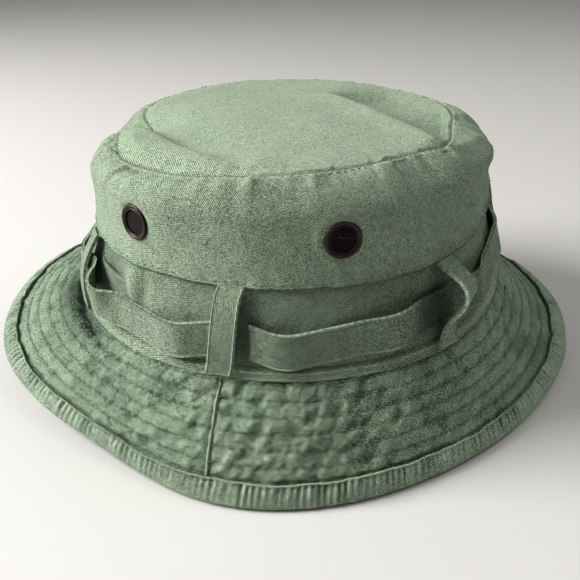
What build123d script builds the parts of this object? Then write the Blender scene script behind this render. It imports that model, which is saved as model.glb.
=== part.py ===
"""Boonie hat, sewn from washed cotton twill. Millimetres, +Z up, +X towards the front.

The origin is the centre of the hat's box on the surface that its brim stands on. The brim reaches further
on one side than on the other, so the crown's axis stands beside the origin. Every sewn piece is its own
closed solid: revolved where it is round, lofted between radial sections where it waves.
"""

from build123d import *

import os
from math import asin, cos, exp, log1p, radians, sin, sqrt

# Cloth
PLY = 0.8  # one layer of twill
INTERLINING = 0.5
STRAP = 1.0  # a folded and pressed strap
BINDING = 0.7
GAP = 0.15  # daylight left beside the sweatband

# Crown, outer surface as radius and height
CROWN_X, CROWN_Y = 4.62, -2.13  # where the crown's axis stands
ROOT_R, ROOT_Z = 96.0, 45.0  # where the crown band meets the brim
WAIST_R, WAIST_Z = 91.5, 80.0  # seam between the crown band and the crown sides
SHOULDER_R, SHOULDER_Z = 90.0, 104.0  # top of the straight part of the crown sides
TIP_R, TIP_Z = 78.0, 117.5  # seam between the crown sides and the tip
TIP_CENTRE_Z = 120.5  # crown of the slack tip

# Brim
BRIM_WIDTH = 50.0  # along the slope, from the root to the bound edge
EDGE_MEAN = 11.7  # height of the top ply at the edge, before its waves
EDGE_WAVES = ((1, 6.9, 153), (2, 8.2, 34), (3, 2.7, 119))  # waves in a turn, how high, and their phase
EDGE_FLOOR = 5.9  # the edge flattens out at this height, where it lies on what the hat stands on
EDGE_SETTLE = 1.5  # how softly it does so
BRIM_TUCKS = ((-120, 8.2, 25), (-40, 4.1, 32))  # where the brim is gathered narrower: angle, depth, reach
BINDING_SHARE = 0.17  # share of the brim's width that the edge binding reaches over

# Head opening
SWEATBAND_R = 91.0
SWEATBAND_LOW, SWEATBAND_HIGH = 44.0, 70.0

# Foliage band and the seven upright loops over it
FOLIAGE_LOW, FOLIAGE_HIGH = 51.0, 66.5
FOLIAGE_GAP = 0.4  # daylight between the foliage band and the crown at a tack
LOOPS = ("back_left", "left", "front_left", "front", "front_right", "back_right", "back")
FIRST_LOOP_ANGLE = -140.1  # direction of the back_left loop
BAY_ANGLE = 180 / len(LOOPS)  # from an upright loop to the stitched tack beside it
BAY_GAPS = (7, 4, 3, 4, 6, 4, 4, 3, 3, 4, 4, 3, 8, 3)  # slack of each bay, from the first loop on
LOOP_WIDTH_ANGLE = 6.4
LOOP_FOOT = 3.0  # height of the sewn end of an upright loop
LOOP_INSET = 1.0  # clear height left beside each seam and each edge of the foliage band
LOOP_SLACK = {"front_left": 14.0}
LOOP_USUAL_SLACK = 3.2

# Screened vents
VENT_MIDDLE = 88.0  # half-way between the two vents of a side, to either side of +X
VENT_ANGLE = 25.5  # each side of that
VENT_Z = 97.0
VENT_HOLE_R = 5.1
VENT_BARREL_R = 5.0
VENT_BARREL_T = 0.4
VENT_RIM_R = 7.0
VENT_RIM_T = 0.9
VENT_RIM_ROUND = 0.36
VENT_WASHER_R = 6.7
VENT_WASHER_T = 0.6
VENT_SCREEN_T = 0.5
VENT_SCREEN_WIRES = 6  # slots across half the screen's width

SECTION_STEP = BAY_ANGLE / 8  # between the radial sections of a waving piece, eight to a bay


def radial_plane(angle):
    """The upright plane through the Z axis at this angle: local x is the radius, local y is the height."""
    a = radians(angle)
    return Plane(origin=(0, 0, 0), x_dir=(cos(a), sin(a), 0), z_dir=(sin(a), -cos(a), 0))


def save(part, label):
    """Stand a finished piece on the crown's axis and write it out."""
    placed = part.moved(Location((CROWN_X, CROWN_Y, 0)))
    placed.label = label
    export_step(placed, f"parts/{label}.step")


def turned(label, outline, start, arc):
    """A piece of revolution with this closed outline, from the start angle on."""
    with BuildPart() as piece:
        with BuildSketch(radial_plane(start)):
            with BuildLine():
                Polyline(*outline, close=True)
            make_face()
        revolve(axis=Axis.Z, revolution_arc=arc)
    save(piece.part, label)


def waving(label, outline_at, start, arc):
    """A piece lofted through radial sections that vary with the angle. A full ring is two halves.

    The loft runs straight from section to section, so that neighbouring layers share one surface exactly
    and a slack strap never swings inwards past its tack.
    """
    halves = 2 if arc == 360 else 1
    steps = round(arc / halves / SECTION_STEP)
    with BuildPart() as piece:
        for half in range(halves):
            first = start + half * 180
            for step in range(steps + 1):
                angle = first + step * arc / halves / steps
                with BuildSketch(radial_plane(angle)):
                    with BuildLine():
                        Polyline(*outline_at(angle), close=True)
                    make_face()
            loft(ruled=True)
    save(piece.part, label)


# ---------------------------------------------------------------- crown


def band_r(z):
    """Outer radius of the crown band at a height: it leans in a little towards the waist."""
    return ROOT_R + (WAIST_R - ROOT_R) * (z - ROOT_Z) / (WAIST_Z - ROOT_Z)


def crown_band():
    outline = [
        (ROOT_R, ROOT_Z),
        (WAIST_R, WAIST_Z),
        (WAIST_R - PLY, WAIST_Z),
        (ROOT_R - PLY, ROOT_Z),
    ]
    turned("crown_band_left", outline, 180, 180)
    turned("crown_band_right", outline, 0, 180)


def vent_frame(angle):
    """Plane on the crown side at a vent: local z points out of the crown, square to its leaning wall."""
    lean = (WAIST_R - SHOULDER_R) / (SHOULDER_Z - WAIST_Z)
    r = WAIST_R - lean * (VENT_Z - WAIST_Z)
    a = radians(angle)
    return Plane(
        origin=(r * cos(a), r * sin(a), VENT_Z),
        x_dir=(-sin(a), cos(a), 0),
        z_dir=(cos(a), sin(a), lean),
    )


def crown_side(label, start, vent_angles):
    """One half of the upper crown: a leaning wall, a rounded shoulder, and a hole for each vent."""
    with BuildPart() as side:
        with BuildSketch(radial_plane(start)):
            with BuildLine():
                outer_wall = Line((WAIST_R, WAIST_Z), (SHOULDER_R, SHOULDER_Z))
                TangentArc((SHOULDER_R, SHOULDER_Z), (TIP_R, TIP_Z), tangent=outer_wall % 1)
                lip = Line((TIP_R, TIP_Z), (TIP_R - PLY, TIP_Z - PLY))
                inner_wall = Line((WAIST_R - PLY, WAIST_Z), (SHOULDER_R - PLY, SHOULDER_Z))
                TangentArc((SHOULDER_R - PLY, SHOULDER_Z), lip @ 1, tangent=inner_wall % 1)
                Line(outer_wall @ 0, inner_wall @ 0)
            make_face()
        revolve(axis=Axis.Z, revolution_arc=180)
        for angle in vent_angles:
            with BuildSketch(vent_frame(angle)):
                Circle(VENT_HOLE_R)
            extrude(amount=2 * PLY, both=True, mode=Mode.SUBTRACT)
    save(side.part, label)


def crown_tip():
    """The oval top piece: a slack, nearly flat dome sewn to the rim of the crown sides."""
    with BuildPart() as tip:
        with BuildSketch(radial_plane(0)):
            with BuildLine():
                TangentArc((0, TIP_CENTRE_Z), (TIP_R, TIP_Z), tangent=(1, 0))
                Line((TIP_R, TIP_Z), (TIP_R - PLY, TIP_Z - PLY))
                TangentArc((0, TIP_CENTRE_Z - PLY), (TIP_R - PLY, TIP_Z - PLY), tangent=(1, 0))
                Line((0, TIP_CENTRE_Z - PLY), (0, TIP_CENTRE_Z))
            make_face()
        revolve(axis=Axis.Z, revolution_arc=360)
    save(tip.part, "crown_tip")


def sweatband():
    """The band inside the head opening, with an upright inner face at the head size."""
    outline = [
        (SWEATBAND_R, SWEATBAND_LOW),
        (SWEATBAND_R, SWEATBAND_HIGH),
        (band_r(SWEATBAND_HIGH) - PLY - GAP, SWEATBAND_HIGH),
        (ROOT_R - PLY - GAP, SWEATBAND_LOW),
    ]
    turned("sweatband", outline, 0, 360)


# ---------------------------------------------------------------- brim


def edge_z(angle):
    """Height of the top ply at the edge: it waves, and is low at the hat's left and right."""
    free = EDGE_MEAN + sum(high * cos(radians(waves * angle - phase)) for waves, high, phase in EDGE_WAVES)
    return EDGE_FLOOR + EDGE_SETTLE * log1p(exp((free - EDGE_FLOOR) / EDGE_SETTLE))


def width(angle):
    """Width of the brim at an angle, to the top ply's edge."""
    tucks = 0
    for middle, depth, reach in BRIM_TUCKS:
        away = (angle - middle + 180) % 360 - 180
        tucks += depth * exp(-((away / reach) ** 2))
    return BRIM_WIDTH - tucks


def slope(angle):
    """Downward slope of the brim at an angle, in radians."""
    return asin((ROOT_Z - edge_z(angle)) / width(angle))


def on_brim(angle, along, depth):
    """A point of the brim: along is measured down the slope, depth is the thickness above it."""
    a = slope(angle)
    return (ROOT_R + along * cos(a), ROOT_Z - along * sin(a) - depth / cos(a))


def brim_ply(depth, thickness):
    """The outline of one layer of the brim, from the crown's inner face to the edge."""

    def outline(angle):
        upright = cos(slope(angle))
        base = depth + thickness
        return [
            (ROOT_R - PLY, ROOT_Z - depth / upright),
            on_brim(angle, 0, depth),
            on_brim(angle, width(angle), depth),
            on_brim(angle, width(angle), base),
            on_brim(angle, 0, base),
            (ROOT_R - PLY, ROOT_Z - base / upright),
        ]

    return outline


def brim():
    """Three layers, each in a front and a back piece that meet at the hat's left and right."""
    layers = [
        ("brim_top", 0, PLY),
        ("brim_interlining", PLY, INTERLINING),
        ("brim_under", PLY + INTERLINING, PLY),
    ]
    for name, depth, thickness in layers:
        waving(f"{name}_front", brim_ply(depth, thickness), -90, 180)
        waving(f"{name}_back", brim_ply(depth, thickness), 90, 180)


def brim_binding():
    """The folded tape that wraps the edge of all three layers."""
    layers = 2 * PLY + INTERLINING

    def outline(angle):
        edge = width(angle)
        lap = edge * (1 - BINDING_SHARE)
        fold = edge + BINDING
        return [
            on_brim(angle, lap, -BINDING),
            on_brim(angle, fold, -BINDING),
            on_brim(angle, fold, layers + BINDING),
            on_brim(angle, lap, layers + BINDING),
            on_brim(angle, lap, layers),
            on_brim(angle, edge, layers),
            on_brim(angle, edge, 0),
            on_brim(angle, lap, 0),
        ]

    waving("brim_binding", outline, -90, 360)


# ---------------------------------------------------------------- foliage band and loops


def slack(angle):
    """How far the foliage band stands off the crown: nothing at a tack or a loop, most between them."""
    bays = (angle - FIRST_LOOP_ANGLE) % 360 / BAY_ANGLE
    gap = BAY_GAPS[int(bays) % len(BAY_GAPS)]
    return gap * sin(radians(180) * bays) ** 4


def foliage_band():
    def outline(angle):
        low = band_r(FOLIAGE_LOW) + FOLIAGE_GAP + slack(angle)
        high = band_r(FOLIAGE_HIGH) + FOLIAGE_GAP + slack(angle)
        return [
            (low, FOLIAGE_LOW),
            (low + STRAP, FOLIAGE_LOW),
            (high + STRAP, FOLIAGE_HIGH),
            (high, FOLIAGE_HIGH),
        ]

    waving("foliage_band", outline, FIRST_LOOP_ANGLE, 360)


def upright_loop(label, angle, stand_off):
    """A strap sewn to the band's top and root that passes outside the foliage band."""
    low = ROOT_Z + LOOP_INSET
    high = WAIST_Z - LOOP_INSET
    standing = band_r((FOLIAGE_LOW + FOLIAGE_HIGH) / 2) + stand_off
    inner = [
        (band_r(low), low),
        (band_r(low + LOOP_FOOT), low + LOOP_FOOT),
        (standing, FOLIAGE_LOW - LOOP_INSET),
        (standing, FOLIAGE_HIGH + LOOP_INSET),
        (band_r(high - LOOP_FOOT), high - LOOP_FOOT),
        (band_r(high), high),
    ]
    outer = [(r + STRAP, z) for r, z in inner]
    turned(label, inner + outer[::-1], angle - LOOP_WIDTH_ANGLE / 2, LOOP_WIDTH_ANGLE)


def upright_loops():
    for place, name in enumerate(LOOPS):
        angle = FIRST_LOOP_ANGLE + 2 * BAY_ANGLE * place
        upright_loop(f"upright_loop_{name}", angle, LOOP_SLACK.get(name, LOOP_USUAL_SLACK))


# ---------------------------------------------------------------- vents


def dip(radius):
    """How far the round crown falls away from a flat disc of this radius laid against it."""
    return WAIST_R - sqrt(WAIST_R**2 - radius**2)


def vent_rim(label, frame):
    """The pressed cap outside the crown: a rolled rim and a short barrel through the cloth."""
    with BuildPart() as rim:
        with BuildSketch(frame):
            Circle(VENT_RIM_R)
        extrude(amount=VENT_RIM_T)
        fillet(rim.edges().filter_by(GeomType.CIRCLE).group_by(SortBy.DISTANCE)[-1], VENT_RIM_ROUND)
        with BuildSketch(frame):
            Circle(VENT_BARREL_R)
        extrude(amount=-(PLY + dip(VENT_WASHER_R) + VENT_WASHER_T))
        with BuildSketch(frame):
            Circle(VENT_BARREL_R - VENT_BARREL_T)
        extrude(amount=VENT_RIM_R, both=True, mode=Mode.SUBTRACT)
    save(rim.part, label)


def vent_screen(label, frame):
    """The woven screen across the barrel, as a disc pierced by slots."""
    radius = VENT_BARREL_R - VENT_BARREL_T
    pitch = radius / VENT_SCREEN_WIRES
    with BuildPart() as screen:
        with BuildSketch(frame):
            Circle(radius)
            with GridLocations(2 * pitch, 2 * pitch, VENT_SCREEN_WIRES - 1, VENT_SCREEN_WIRES - 1):
                Rectangle(pitch, pitch, mode=Mode.SUBTRACT)
        extrude(amount=-VENT_SCREEN_T)
    save(screen.part, label)


def vent_washer(label, frame):
    """The plain ring that the barrel is spread over inside the crown."""
    with BuildPart() as washer:
        with BuildSketch(frame.offset(-(PLY + dip(VENT_WASHER_R)))):
            Circle(VENT_WASHER_R)
            Circle(VENT_BARREL_R, mode=Mode.SUBTRACT)
        extrude(amount=-VENT_WASHER_T)
    save(washer.part, label)


def vents():
    for side, centre in (("left", -VENT_MIDDLE), ("right", VENT_MIDDLE)):
        towards_front = 1 if side == "left" else -1
        for end, sign in (("front", towards_front), ("back", -towards_front)):
            frame = vent_frame(centre + sign * VENT_ANGLE)
            vent_rim(f"vent_rim_{end}_{side}", frame)
            vent_screen(f"vent_screen_{end}_{side}", frame)
            vent_washer(f"vent_washer_{end}_{side}", frame)


os.makedirs("parts", exist_ok=True)
crown_tip()
crown_side("crown_side_left", 180, (-VENT_MIDDLE - VENT_ANGLE, -VENT_MIDDLE + VENT_ANGLE))
crown_side("crown_side_right", 0, (VENT_MIDDLE - VENT_ANGLE, VENT_MIDDLE + VENT_ANGLE))
crown_band()
sweatband()
brim()
brim_binding()
foliage_band()
upright_loops()
vents()
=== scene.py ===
import math

import bpy
import numpy as np
from mathutils import Euler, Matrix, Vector


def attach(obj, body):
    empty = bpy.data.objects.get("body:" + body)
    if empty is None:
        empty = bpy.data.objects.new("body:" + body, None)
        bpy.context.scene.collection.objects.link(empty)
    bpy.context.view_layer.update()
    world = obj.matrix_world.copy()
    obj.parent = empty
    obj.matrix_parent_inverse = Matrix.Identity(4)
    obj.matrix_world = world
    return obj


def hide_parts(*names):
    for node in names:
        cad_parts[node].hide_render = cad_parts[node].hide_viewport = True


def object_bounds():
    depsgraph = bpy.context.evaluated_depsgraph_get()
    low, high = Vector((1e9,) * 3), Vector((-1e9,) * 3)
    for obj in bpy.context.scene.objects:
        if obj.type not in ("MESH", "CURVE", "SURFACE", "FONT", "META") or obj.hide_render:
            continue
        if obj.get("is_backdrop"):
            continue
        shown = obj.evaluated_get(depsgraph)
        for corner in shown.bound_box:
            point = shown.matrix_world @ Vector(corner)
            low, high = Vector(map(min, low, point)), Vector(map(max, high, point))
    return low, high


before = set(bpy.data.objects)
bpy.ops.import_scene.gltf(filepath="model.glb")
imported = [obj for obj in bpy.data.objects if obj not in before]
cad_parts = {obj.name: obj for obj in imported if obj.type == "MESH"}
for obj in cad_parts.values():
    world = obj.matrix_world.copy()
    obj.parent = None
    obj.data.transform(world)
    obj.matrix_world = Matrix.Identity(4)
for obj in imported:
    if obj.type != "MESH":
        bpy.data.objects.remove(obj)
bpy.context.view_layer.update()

MM = 0.001

# The hat's dimensions in millimetres, as the CAD part has them
PLY = 0.8
CROWN_X, CROWN_Y = 4.62, -2.13
ROOT_R, ROOT_Z = 96.0, 45.0
WAIST_R, WAIST_Z = 91.5, 80.0
SHOULDER_R, SHOULDER_Z = 90.0, 104.0
TIP_R, TIP_Z = 78.0, 117.5
BRIM_WIDTH = 50.0
EDGE_MEAN = 11.7
EDGE_WAVES = ((1, 6.9, 153), (2, 8.2, 34), (3, 2.7, 119))
EDGE_FLOOR, EDGE_SETTLE = 5.9, 1.5
BRIM_TUCKS = ((-120, 8.2, 25), (-40, 4.1, 32))
BINDING_LAP = 8.5
SWEATBAND_R, SWEATBAND_LOW, SWEATBAND_HIGH = 91.0, 44.0, 70.0
FOLIAGE_LOW, FOLIAGE_HIGH = 51.0, 66.5
LOOPS = ("back_left", "left", "front_left", "front", "front_right", "back_right", "back")
FIRST_LOOP_ANGLE = -140.1
BAY_ANGLE = 180 / len(LOOPS)
BAY_GAPS = (7, 4, 3, 4, 6, 4, 4, 3, 3, 4, 4, 3, 8, 3)
LOOP_WIDTH = 9.2
VENT_MIDDLE, VENT_ANGLE, VENT_Z = 88.0, 25.5, 97.0
VENT_HOLE_R, VENT_BARREL_R, VENT_RIM_R = 5.1, 5.0, 7.0
QUILT_FIRST, QUILT_PITCH, QUILT_ROWS = 3.2, 6.4, 6
BINDING_RIBS = 290
GUTTER_START, GUTTER_MIDDLE = -166, -150  # a gutter folded into the brim beside the crown, at the back left

# How much cloth there is in a degree round each piece, for the weave, in millimetres
SIDE_ARC, BAND_ARC, SWEATBAND_ARC, BRIM_ARC, BINDING_ARC = 1.58, 1.66, 1.62, 2.1, 2.35
TIP_SCALE = 80  # millimetres in the tip's radius, for the width of lines beside its seam
EDGE_ROUND = 0.42  # how far a raw edge bulges, as a share of the thickness
STRAP_ROWS = 15  # rows of points across a strap

# ---------------- numbers and noise


def rad(degrees):
    return np.radians(degrees)


def wrap(degrees):
    """The same angle between -180 and 180."""
    return (np.asarray(degrees) + 180.0) % 360.0 - 180.0


def theta_from(theta, start):
    return wrap(theta - start)


def hump(x, centre, width):
    """A smooth bump, 1 at its centre, about 0 at twice its width."""
    return np.exp(-(((x - centre) / width) ** 2))


def angle_hump(theta, centre, width):
    return np.exp(-((wrap(theta - centre) / width) ** 2))


def ease(x, low, high):
    """0 below low, 1 above high, and smooth between."""
    t = np.clip((x - low) / (high - low), 0, 1)
    return t * t * (3 - 2 * t)


def noise(u, v, cells, seed):
    """Value noise that repeats every `cells` units of u. Both axes are in cells."""
    table = np.random.RandomState(seed).uniform(-1, 1, (cells, 256))
    u = np.asarray(u, float) % cells
    v = np.asarray(v, float) + 128.0
    i, j = np.floor(u).astype(int), np.floor(v).astype(int)
    fu, fv = u - i, v - j
    su, sv = fu * fu * fu * (fu * (6 * fu - 15) + 10), fv * fv * fv * (fv * (6 * fv - 15) + 10)
    i0, i1, j0, j1 = i % cells, (i + 1) % cells, j % 256, (j + 1) % 256
    near = table[i0, j0] * (1 - su) + table[i1, j0] * su
    far = table[i0, j1] * (1 - su) + table[i1, j1] * su
    return near * (1 - sv) + far * sv


def around(theta, along, arc_mm, run_mm, seed, octaves=3):
    """Noise over a surface that goes round the hat: arc_mm and run_mm are the sizes of its largest lumps."""
    total, weight = 0.0, 1.0
    for octave in range(octaves):
        cells = max(4, int(round(2 * math.pi * 100 / arc_mm * 2**octave)))
        u, v = theta / 360.0 * cells, along / run_mm * 2**octave
        total = total + weight * noise(u, v, cells, seed + octave)
        weight *= 0.5
    return total


def flat_noise(x, y, size_mm, seed, octaves=3):
    total, weight = 0.0, 1.0
    for octave in range(octaves):
        total = total + weight * noise(x / size_mm * 2**octave, y / size_mm * 2**octave, 4096, seed + octave)
        weight *= 0.5
    return total


# ---------------- meshes


def normals_of(points):
    """Unit normals of a grid of points, by central differences."""
    du = np.gradient(points, axis=0)
    dv = np.gradient(points, axis=1)
    n = np.cross(du, dv)
    return n / np.maximum(np.linalg.norm(n, axis=2, keepdims=True), 1e-12)


def slouch(points):
    """The hat's lean: pinched at the back left, slumped at the front shoulder, its waist drawn up there."""
    points = np.array(points, float)
    theta = np.degrees(np.arctan2(points[:, 1], points[:, 0]))
    r, z = np.hypot(points[:, 0], points[:, 1]), points[:, 2]
    pinch = 4.6 * angle_hump(theta, -165, 38) * ease(z, 62, 80) * hump(np.maximum(z, 80), 80, 24)
    slump = 3.4 * angle_hump(theta, 14, 34) * ease(z, 48, 68) * (1 - ease(z, 97, 108))
    slump = slump + 2.4 * angle_hump(theta, 12, 42) * ease(z, 108, 117) * (r / 80) ** 2
    lift = 12.0 * angle_hump(theta, 9, 27) * ease(z, 31, 53) * (1 - ease(z, 86, 112)) * ease(r, 60, 80)
    points[:, :2] *= (1 - (pinch + slump) / np.maximum(r, 20))[:, None]
    points[:, 2] += lift
    return points


def raw_mesh(name, verts, quads, material, uv=None, attributes=None):
    """A mesh object from points in millimetres and quads."""
    mesh = bpy.data.meshes.new(name)
    mesh.vertices.add(len(verts))
    stand = np.array([CROWN_X, CROWN_Y, 0.0])
    mesh.vertices.foreach_set("co", ((slouch(verts) + stand) * MM).astype(np.float32).ravel())
    mesh.loops.add(4 * len(quads))
    mesh.loops.foreach_set("vertex_index", quads.astype(np.int32).ravel())
    mesh.polygons.add(len(quads))
    mesh.polygons.foreach_set("loop_start", np.arange(0, 4 * len(quads), 4, dtype=np.int32))
    mesh.polygons.foreach_set("use_smooth", np.full(len(quads), True))
    mesh.update(calc_edges=True)
    mesh.validate()
    if uv is not None:
        layer = mesh.uv_layers.new(name="cloth")
        corner = np.empty(len(mesh.loops), np.int32)
        mesh.loops.foreach_get("vertex_index", corner)
        layer.data.foreach_set("uv", (np.asarray(uv, np.float32) * MM)[corner].ravel())
    for key, values in (attributes or {}).items():
        layer = mesh.attributes.new(key, "FLOAT", "POINT")
        layer.data.foreach_set("value", np.asarray(values, np.float32).ravel())
    mesh.materials.append(material)
    made = bpy.data.objects.new(name, mesh)
    bpy.context.collection.objects.link(made)
    return made


def sheet_solid(
    name, top, thickness, uv, material, wear_and_painted_light=0, painted_shade=0, closed=False, keep=None, bottom=None, flip=False
):
    """A sheet of cloth as a closed solid: a top grid, a bottom grid, and rounded edges all round.

    top is (nu, nv, 3) in millimetres. The bottom is given, or lies the thickness below along the normals.
    closed joins the last row of u to the first. keep is a (cells_u, cells_v) mask: the rest is a hole.
    The two marks say where the cloth is paler, from real wear and from painted highlight, and where painted
    shade darkens its colour.
    """
    nu, nv = top.shape[:2]
    if bottom is None:
        n = normals_of(np.concatenate([top[-3:-1], top, top[1:3]]))[2:-2] if closed else normals_of(top)
        bottom = top - n * thickness * (-1 if flip else 1)
    cells_u = nu if closed else nu - 1
    keep = np.ones((cells_u, nv - 1), bool) if keep is None else keep
    index = np.arange(nu * nv).reshape(nu, nv)
    iu = np.arange(cells_u)
    iu1 = (iu + 1) % nu
    a, b = index[iu][:, :-1], index[iu1][:, :-1]
    c, d = index[iu1][:, 1:], index[iu][:, 1:]
    top_quads = np.stack([a, b, c, d], -1)[keep]
    bottom_quads = (np.stack([a, d, c, b], -1) + nu * nv)[keep]
    # Edge vertices: half-way between the two grids, pushed out a little on the sheet's own borders
    mid = (top + bottom) / 2
    push = np.zeros_like(mid)
    half = np.linalg.norm(top - bottom, axis=2, keepdims=True) * EDGE_ROUND

    def outward(edge, inside):
        v = edge - inside
        return v / np.maximum(np.linalg.norm(v, axis=-1, keepdims=True), 1e-9)

    push[:, 0] += outward(mid[:, 0], mid[:, 1])
    push[:, -1] += outward(mid[:, -1], mid[:, -2])
    if not closed:
        push[0] += outward(mid[0], mid[1])
        push[-1] += outward(mid[-1], mid[-2])
    rim = mid + push * half
    # Walls where a kept cell has no kept neighbour
    padded = np.zeros((cells_u + 2, nv + 1), bool)
    padded[1:-1, 1:-1] = keep
    if closed:
        padded[0, 1:-1], padded[-1, 1:-1] = keep[-1], keep[0]
    walls = []
    k = padded[1:-1, 1:-1]

    def wall(open_side, p, q):
        p, q = p[open_side], q[open_side]
        base = 2 * nu * nv
        walls.append(np.stack([p, p + base, q + base, q], -1))
        walls.append(np.stack([p + base, p + nu * nv, q + nu * nv, q + base], -1))

    wall(k & ~padded[1:-1, :-2], b, a)
    wall(k & ~padded[1:-1, 2:], d, c)
    wall(k & ~padded[:-2, 1:-1], a, d)
    wall(k & ~padded[2:, 1:-1], c, b)
    quads = np.concatenate([top_quads, bottom_quads] + walls)
    if flip:
        quads = quads[:, ::-1]
    verts = np.concatenate([top.reshape(-1, 3), bottom.reshape(-1, 3), rim.reshape(-1, 3)])
    used, inverse = np.unique(quads, return_inverse=True)
    quads = inverse.reshape(quads.shape)
    flat_uv = uv.reshape(-1, 2)
    every_uv = np.concatenate([flat_uv, flat_uv + 0.37, flat_uv])[used]
    extra = {}
    for key, values in (("wear_and_painted_light", wear_and_painted_light), ("painted_shade", painted_shade)):
        flat = np.broadcast_to(values, (nu, nv)).reshape(-1)
        extra[key] = np.concatenate([flat, flat, flat])[used]
    return raw_mesh(name, verts[used], quads, material, every_uv, extra)


def tubes(name, paths, radius, material, tapered=True):
    """Many short six-sided tubes in one object: paths is (count, points, 3)."""
    sides = 6
    count, steps = paths.shape[:2]
    along = np.gradient(paths, axis=1)
    along /= np.maximum(np.linalg.norm(along, axis=2, keepdims=True), 1e-9)
    up = np.zeros_like(along)
    up[..., 2] = 1.0
    steep = np.abs(along[..., 2:3]) > 0.9
    up = np.where(steep, np.array([1.0, 0.0, 0.0]), up)
    side = np.cross(along, up)
    side /= np.linalg.norm(side, axis=2, keepdims=True)
    other = np.cross(side, along)
    radii = np.full((steps,), radius)
    if tapered:
        radii[0] = radii[-1] = radius * 0.35
    turn = np.arange(sides) * 2 * math.pi / sides
    ring = side[:, :, None] * np.cos(turn)[:, None] + other[:, :, None] * np.sin(turn)[:, None]
    ring = ring * radii[:, None, None]
    verts = (paths[:, :, None] + ring).reshape(-1, 3)
    base = (np.arange(count) * steps * sides)[:, None, None]
    s = (np.arange(steps - 1) * sides)[None, :, None]
    k = np.arange(sides)[None, None, :]
    k1 = (k + 1) % sides
    low, high = base + s, base + s + sides
    quads = [np.stack([low + k, low + k1, high + k1, high + k], -1).reshape(-1, 4)]
    for first in (0, (steps - 1) * sides):
        o = (np.arange(count) * steps * sides)[:, None] + first
        order = [[0, 1, 2, 3], [0, 3, 4, 5]] if first else [[3, 2, 1, 0], [5, 4, 3, 0]]
        for four in order:
            quads.append(o + np.array(four)[None])
    quads = np.concatenate(quads)
    return raw_mesh(name, verts, quads, material)


def seam(name, curve, length_mm, material, seed, stitch=2.6, gap=0.9, radius=0.24, rise=0.05, skip=0.0):
    """A row of real stitches round the hat: curve(theta) gives points and normals for an array of angles."""
    count = max(2, int(length_mm / (stitch + gap)))
    rng = np.random.RandomState(seed)
    pitch = 360 / count
    first = -180 + (np.arange(count) + rng.uniform(-0.08, 0.08, count)) * pitch
    first = first[rng.uniform(0, 1, count) >= skip]
    share = stitch / (stitch + gap)
    lift = np.array([-0.30, 0.05, 0.16, 0.16, 0.05, -0.30]) + rise
    theta = first[:, None] + np.linspace(0, share, 6)[None] * pitch
    points, n = curve(theta)
    wander = rng.uniform(-0.09, 0.09, (len(first), 1, 1))
    return tubes(name, points + n * (lift[None, :, None] + wander), radius, material)


# ---------------- materials


def new_material(name):
    material = bpy.data.materials.new(name)
    material.use_nodes = True
    tree = material.node_tree
    return material, tree, tree.nodes["Principled BSDF"]


def math_node(tree, operation, a, b=None):
    """A Math node's output. Each input is a number or another node's output."""
    node = tree.nodes.new("ShaderNodeMath")
    node.operation = operation
    for socket, value in zip(node.inputs, (a, b)):
        if value is None:
            continue
        if isinstance(value, (int, float)):
            socket.default_value = value
        else:
            tree.links.new(value, socket)
    return node.outputs[0]


def plus(tree, a, b):
    return math_node(tree, "ADD", a, b)


def minus(tree, a, b):
    return math_node(tree, "SUBTRACT", a, b)


def times(tree, a, b):
    return math_node(tree, "MULTIPLY", a, b)


def noise_node(tree, vector, scale, detail=2.0, rough=0.5):
    node = tree.nodes.new("ShaderNodeTexNoise")
    node.inputs["Scale"].default_value = scale
    node.inputs["Detail"].default_value = detail
    node.inputs["Roughness"].default_value = rough
    tree.links.new(vector, node.inputs["Vector"])
    return node.outputs["Fac"]


def centred_noise(tree, vector, scale, detail, rough):
    return minus(tree, noise_node(tree, vector, scale, detail, rough), 0.5)


def weighted_sum(tree, start, terms):
    total = start
    for source, amount in terms:
        total = plus(tree, total, times(tree, source, amount))
    return total


def colour_ramp(tree, shader, value, stops, interpolation="LINEAR"):
    """Base colour from a value, through stops of (position, colour)."""
    ramp = tree.nodes.new("ShaderNodeValToRGB")
    ramp.color_ramp.interpolation = interpolation
    elements = ramp.color_ramp.elements
    for end, (position, colour) in zip(elements, (stops[0], stops[-1])):
        end.position, end.color = position, (*colour, 1)
    for position, colour in stops[1:-1]:
        elements.new(position).color = (*colour, 1)
    tree.links.new(value, ramp.inputs["Fac"])
    tree.links.new(ramp.outputs["Color"], shader.inputs["Base Color"])


def fine_relief(tree, shader, height, strength, distance):
    relief = tree.nodes.new("ShaderNodeBump")
    relief.inputs["Strength"].default_value = strength
    relief.inputs["Distance"].default_value = distance
    tree.links.new(height, relief.inputs["Height"])
    tree.links.new(relief.outputs["Normal"], shader.inputs["Normal"])


def attribute_node(tree, name):
    node = tree.nodes.new("ShaderNodeAttribute")
    node.attribute_name = name
    return node.outputs["Fac"]


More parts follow.
